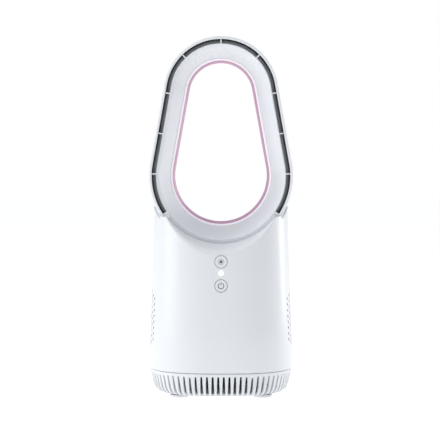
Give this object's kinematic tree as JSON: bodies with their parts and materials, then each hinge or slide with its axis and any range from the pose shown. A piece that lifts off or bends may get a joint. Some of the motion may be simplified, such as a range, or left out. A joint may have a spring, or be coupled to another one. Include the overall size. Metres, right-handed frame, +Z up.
{
  "type": "bladeless fan",
  "caption": "Desk fan with an egg-shaped air loop in a saddle on a tapered, rounded-square body with a slotted base.",
  "frame": {"origin": "on the floor, under the body's axis, at the centre of the footprint", "axes": "+Z up, -Y out of the front with the keys, +X to the right seen from the front"},
  "size_m": [0.144, 0.144, 0.3533],
  "materials": {
    "white_shell": "smooth moulded ABS, semi-gloss",
    "white_grille": "smooth moulded ABS, semi-gloss",
    "pink_diffuser": "translucent light ring, satin",
    "white_key": "smooth moulded key",
    "clear_lens": "frosted clear lens",
    "grey_plastic": "moulded, matte",
    "impeller_plastic": "moulded, satin",
    "black_plastic": "moulded, matte",
    "rubber": "moulded rubber",
    "steel": "bright plated",
    "bronze": "copper and bronze",
    "board": "solder-masked laminate",
    "lead": "soft insulation"
  },
  "bodies": {
    "root": {"body_shell": "white_shell", "loop_shroud": "white_shell", "loop_funnel": "white_shell", "base_grille": "white_grille", "light_ring": "pink_diffuser", "indicator_lens": "clear_lens", "base_plate": "grey_plastic", "impeller_housing": "grey_plastic", "motor_pod": "grey_plastic", "inlet_socket": "black_plastic", "light_key_switch": "black_plastic", "power_key_switch": "black_plastic", "foot_front_left": "rubber", "foot_front_right": "rubber", "foot_rear_left": "rubber", "foot_rear_right": "rubber", "neck_seal": "rubber", "base_screw_front_left": "steel", "base_screw_front_right": "steel", "base_screw_rear_left": "steel", "base_screw_rear_right": "steel", "body_screw_front_left": "steel", "body_screw_front_right": "steel", "body_screw_rear_left": "steel", "body_screw_rear_right": "steel", "board_screw_left": "steel", "board_screw_right": "steel", "motor_can": "steel", "lower_bush": "bronze", "upper_bush": "bronze", "motor_winding": "bronze", "control_board": "board", "drive_board": "board", "led_strip": "board", "indicator_lamp": "board", "motor_lead": "lead", "control_lead": "lead", "inlet_lead": "lead"},
    "impeller_set": {"impeller": "impeller_plastic", "motor_shaft": "steel", "motor_rotor": "steel", "impeller_nut": "steel"},
    "light_button": {"light_key": "white_key", "light_key_plunger": "black_plastic"},
    "power_button": {"power_key": "white_key", "power_key_plunger": "black_plastic"}
  },
  "joints": [
    {"name": "impeller_spin", "type": "hinge", "parent": "root", "child": "impeller_set", "pos_m": [0, 0, 0.078], "axis": [0, 0, 1], "continuous": true},
    {"name": "light_button_press", "type": "slide", "parent": "root", "child": "light_button", "axis": [0, 0.9993, -0.0384], "range_m": [0, 0.0008], "stiffness_N_per_m": 900},
    {"name": "power_button_press", "type": "slide", "parent": "root", "child": "power_button", "axis": [0, 0.9993, -0.0384], "range_m": [0, 0.0008], "stiffness_N_per_m": 900}
  ]
}
